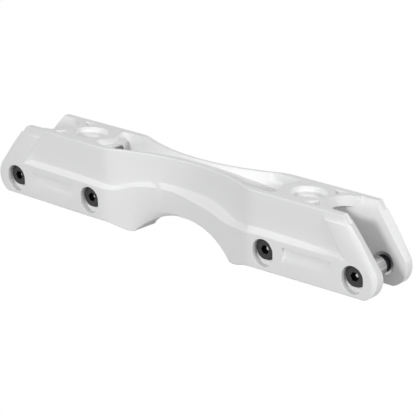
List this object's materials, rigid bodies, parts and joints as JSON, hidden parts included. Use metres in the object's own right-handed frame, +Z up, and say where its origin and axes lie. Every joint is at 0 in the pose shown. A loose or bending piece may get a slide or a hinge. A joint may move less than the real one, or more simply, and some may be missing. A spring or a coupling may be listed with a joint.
{
  "type": "inline skate frame",
  "caption": "Bare inline skate frame with a waisted middle, a grind arch and threaded axles; it bolts under a boot and carries the wheels.",
  "frame": {"origin": "midway between the two boot bolt holes, on the flat top of the decks", "axes": "+X along the frame, +Y across away from the bolt heads, +Z up toward the boot"},
  "size_m": [0.2868, 0.041, 0.0517],
  "materials": {
    "nylon": "white glass-filled nylon, moulded, satin",
    "black_steel": "black oxide on steel, satin",
    "sleeve_aluminium": "turned aluminium",
    "grey_steel": "plain grey steel"
  },
  "bodies": {
    "frame": {"frame_body": "nylon", "near_bush_1": "grey_steel", "near_bush_2": "grey_steel", "near_bush_3": "grey_steel", "near_bush_4": "grey_steel", "far_bush_1": "grey_steel", "far_bush_2": "grey_steel", "far_bush_3": "grey_steel", "far_bush_4": "grey_steel", "axle_nut_1": "black_steel", "axle_nut_2": "black_steel", "axle_nut_3": "black_steel", "axle_nut_4": "black_steel"},
    "washer_1": {"axle_washer_1": "black_steel"},
    "bolt_1": {"axle_bolt_1": "black_steel"},
    "sleeve_1": {"axle_sleeve_1": "sleeve_aluminium"},
    "washer_2": {"axle_washer_2": "black_steel"},
    "bolt_2": {"axle_bolt_2": "black_steel"},
    "sleeve_2": {"axle_sleeve_2": "sleeve_aluminium"},
    "washer_3": {"axle_washer_3": "black_steel"},
    "bolt_3": {"axle_bolt_3": "black_steel"},
    "sleeve_3": {"axle_sleeve_3": "sleeve_aluminium"},
    "washer_4": {"axle_washer_4": "black_steel"},
    "bolt_4": {"axle_bolt_4": "black_steel"},
    "sleeve_4": {"axle_sleeve_4": "sleeve_aluminium"}
  },
  "joints": [
    {"name": "washer_travel_1", "type": "slide", "parent": "frame", "child": "washer_1", "axis": [0, -1, 0], "range_m": [0, 0.00626]},
    {"name": "bolt_turn_1", "type": "hinge", "parent": "washer_1", "child": "bolt_1", "pos_m": [-0.12773, 0, -0.0347], "axis": [0, -1, 0], "range_deg": [0, 1800]},
    {"name": "sleeve_slide_1", "type": "slide", "parent": "frame", "child": "sleeve_1", "axis": [0, 1, 0], "range_m": [0, 0.0054]},
    {"name": "washer_travel_2", "type": "slide", "parent": "frame", "child": "washer_2", "axis": [0, -1, 0], "range_m": [0, 0.00626]},
    {"name": "bolt_turn_2", "type": "hinge", "parent": "washer_2", "child": "bolt_2", "pos_m": [-0.0662, 0, -0.0347], "axis": [0, -1, 0], "range_deg": [0, 1800]},
    {"name": "sleeve_slide_2", "type": "slide", "parent": "frame", "child": "sleeve_2", "axis": [0, 1, 0], "range_m": [0, 0.0054]},
    {"name": "washer_travel_3", "type": "slide", "parent": "frame", "child": "washer_3", "axis": [0, -1, 0], "range_m": [0, 0.00626]},
    {"name": "bolt_turn_3", "type": "hinge", "parent": "washer_3", "child": "bolt_3", "pos_m": [0.0662, 0, -0.0347], "axis": [0, -1, 0], "range_deg": [0, 1800]},
    {"name": "sleeve_slide_3", "type": "slide", "parent": "frame", "child": "sleeve_3", "axis": [0, 1, 0], "range_m": [0, 0.0054]},
    {"name": "washer_travel_4", "type": "slide", "parent": "frame", "child": "washer_4", "axis": [0, -1, 0], "range_m": [0, 0.00626]},
    {"name": "bolt_turn_4", "type": "hinge", "parent": "washer_4", "child": "bolt_4", "pos_m": [0.12773, 0, -0.0347], "axis": [0, -1, 0], "range_deg": [0, 1800]},
    {"name": "sleeve_slide_4", "type": "slide", "parent": "frame", "child": "sleeve_4", "axis": [0, 1, 0], "range_m": [0, 0.0054]}
  ],
  "couplings": [
    {"joint": "washer_travel_1", "follows": "bolt_turn_1", "m_per_rad": 0.00019894},
    {"joint": "washer_travel_2", "follows": "bolt_turn_2", "m_per_rad": 0.00019894},
    {"joint": "washer_travel_3", "follows": "bolt_turn_3", "m_per_rad": 0.00019894},
    {"joint": "washer_travel_4", "follows": "bolt_turn_4", "m_per_rad": 0.00019894}
  ]
}
